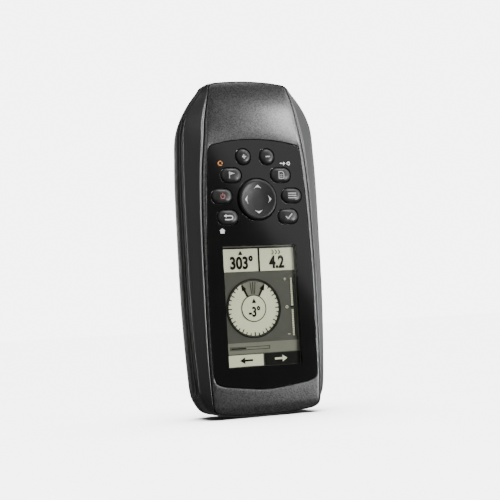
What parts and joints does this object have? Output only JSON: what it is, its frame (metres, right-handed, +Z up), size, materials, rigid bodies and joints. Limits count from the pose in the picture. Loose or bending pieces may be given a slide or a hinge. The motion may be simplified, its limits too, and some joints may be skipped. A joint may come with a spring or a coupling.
{
  "type": "handheld satellite navigation receiver",
  "caption": "Upright handheld satellite navigator with a glossy front panel, display, keys and direction pad, and a battery door with a folding ring latch.",
  "frame": {"origin": "middle of the bounding box's base, where the case stands on its lower end", "axes": "+Z up along the case's length, front face towards -Y, +X to the right as seen from the front"},
  "size_m": [0.066, 0.0306, 0.1524],
  "materials": {
    "shell_plastic": "fine moulded grain, satin",
    "bezel_plastic": "metallic dark grey, fine speckle, satin",
    "panel_gloss": "polished black",
    "lens_clear": "clear, polished",
    "strip_rubber": "matte",
    "key_rubber": "satin, moulded",
    "membrane_silicone": "matte",
    "dome_metal": "plated, satin",
    "steel": "satin",
    "board_green": "solder mask, semi-gloss",
    "lcd_glass": "grey-green, matte front",
    "light_guide": "clear, satin",
    "flex_film": "amber film",
    "ceramic": "fired ceramic, matte",
    "chip_black": "moulded, matte",
    "connector_ivory": "moulded, satin",
    "pin_gold": "plated, bright",
    "cell_wrap": "plain shrink sleeve, semi-gloss"
  },
  "bodies": {
    "case": {"front_shell": "shell_plastic", "back_shell": "shell_plastic", "face_bezel": "bezel_plastic", "face_panel": "panel_gloss", "display_lens": "lens_clear", "side_strip_left": "strip_rubber", "side_strip_right": "strip_rubber", "case_gasket": "strip_rubber", "pad_bracket": "steel", "keypad_membrane": "membrane_silicone", "snap_domes": "dome_metal", "main_board": "board_green", "board_screws": "steel", "lcd_glass": "lcd_glass", "backlight_guide": "light_guide", "lcd_frame": "steel", "lcd_flex": "flex_film", "patch_antenna": "ceramic", "antenna_ground": "steel", "rf_shield": "steel", "board_chips": "chip_black", "beeper": "chip_black", "port_board": "board_green", "board_link": "connector_ivory", "usb_port": "steel", "data_port": "chip_black", "data_port_pins": "pin_gold", "cap_strap": "strip_rubber", "aa_cell_left": "cell_wrap", "aa_cell_right": "cell_wrap", "contact_springs": "steel", "contact_plates": "steel", "door_seal": "strip_rubber", "case_screws": "steel"},
    "key_zoom_in": {"key_zoom_in": "key_rubber"},
    "key_zoom_out": {"key_zoom_out": "key_rubber"},
    "key_mark": {"key_mark": "key_rubber"},
    "key_page": {"key_page": "key_rubber"},
    "key_power": {"key_power": "key_rubber"},
    "key_menu": {"key_menu": "key_rubber"},
    "key_back": {"key_back": "key_rubber"},
    "key_select": {"key_select": "key_rubber"},
    "pad_cross": {"pad_pivot_cross": "steel"},
    "direction_pad": {"direction_pad": "key_rubber"},
    "weather_cap": {"weather_cap": "strip_rubber"},
    "battery_door": {"battery_door": "shell_plastic"},
    "latch": {"latch_barrel": "shell_plastic", "latch_cam": "steel", "latch_seal": "strip_rubber"},
    "d_ring": {"d_ring": "steel"}
  },
  "joints": [
    {"name": "press_zoom_in", "type": "slide", "parent": "case", "child": "key_zoom_in", "axis": [0, 1, 0], "range_m": [0, 0.0007], "stiffness_N_per_m": 2500},
    {"name": "press_zoom_out", "type": "slide", "parent": "case", "child": "key_zoom_out", "axis": [0, 1, 0], "range_m": [0, 0.0007], "stiffness_N_per_m": 2500},
    {"name": "press_mark", "type": "slide", "parent": "case", "child": "key_mark", "axis": [0, 1, 0], "range_m": [0, 0.0007], "stiffness_N_per_m": 2500},
    {"name": "press_page", "type": "slide", "parent": "case", "child": "key_page", "axis": [0, 1, 0], "range_m": [0, 0.0007], "stiffness_N_per_m": 2500},
    {"name": "press_power", "type": "slide", "parent": "case", "child": "key_power", "axis": [0, 1, 0], "range_m": [0, 0.0007], "stiffness_N_per_m": 2500},
    {"name": "press_menu", "type": "slide", "parent": "case", "child": "key_menu", "axis": [0, 1, 0], "range_m": [0, 0.0007], "stiffness_N_per_m": 2500},
    {"name": "press_back", "type": "slide", "parent": "case", "child": "key_back", "axis": [0, 1, 0], "range_m": [0, 0.0007], "stiffness_N_per_m": 2500},
    {"name": "press_select", "type": "slide", "parent": "case", "child": "key_select", "axis": [0, 1, 0], "range_m": [0, 0.0007], "stiffness_N_per_m": 2500},
    {"name": "pad_rock_vertical", "type": "hinge", "parent": "case", "child": "pad_cross", "pos_m": [0, -0.00945, 0.0974], "axis": [1, 0, 0], "range_deg": [-3, 3], "stiffness_Nm_per_rad": 0.25},
    {"name": "pad_rock_sideways", "type": "hinge", "parent": "pad_cross", "child": "direction_pad", "pos_m": [0, -0.00945, 0.0974], "axis": [0, 0, 1], "range_deg": [-3, 3], "stiffness_Nm_per_rad": 0.25},
    {"name": "weather_cap_open", "type": "hinge", "parent": "case", "child": "weather_cap", "pos_m": [0, 0.014, 0.11425], "axis": [1, 0, 0], "range_deg": [0, 100], "stiffness_Nm_per_rad": 0.002},
    {"name": "battery_door_lift", "type": "slide", "parent": "case", "child": "battery_door", "axis": [0, 1, 0], "range_m": [0, 0.04]},
    {"name": "latch_turn", "type": "hinge", "parent": "battery_door", "child": "latch", "pos_m": [0, 0.01415, 0.0215], "axis": [0, 1, 0], "range_deg": [0, 90]},
    {"name": "ring_fold", "type": "hinge", "parent": "latch", "child": "d_ring", "pos_m": [0, 0.01415, 0.0215], "axis": [1, 0, 0], "range_deg": [0, 180]}
  ]
}
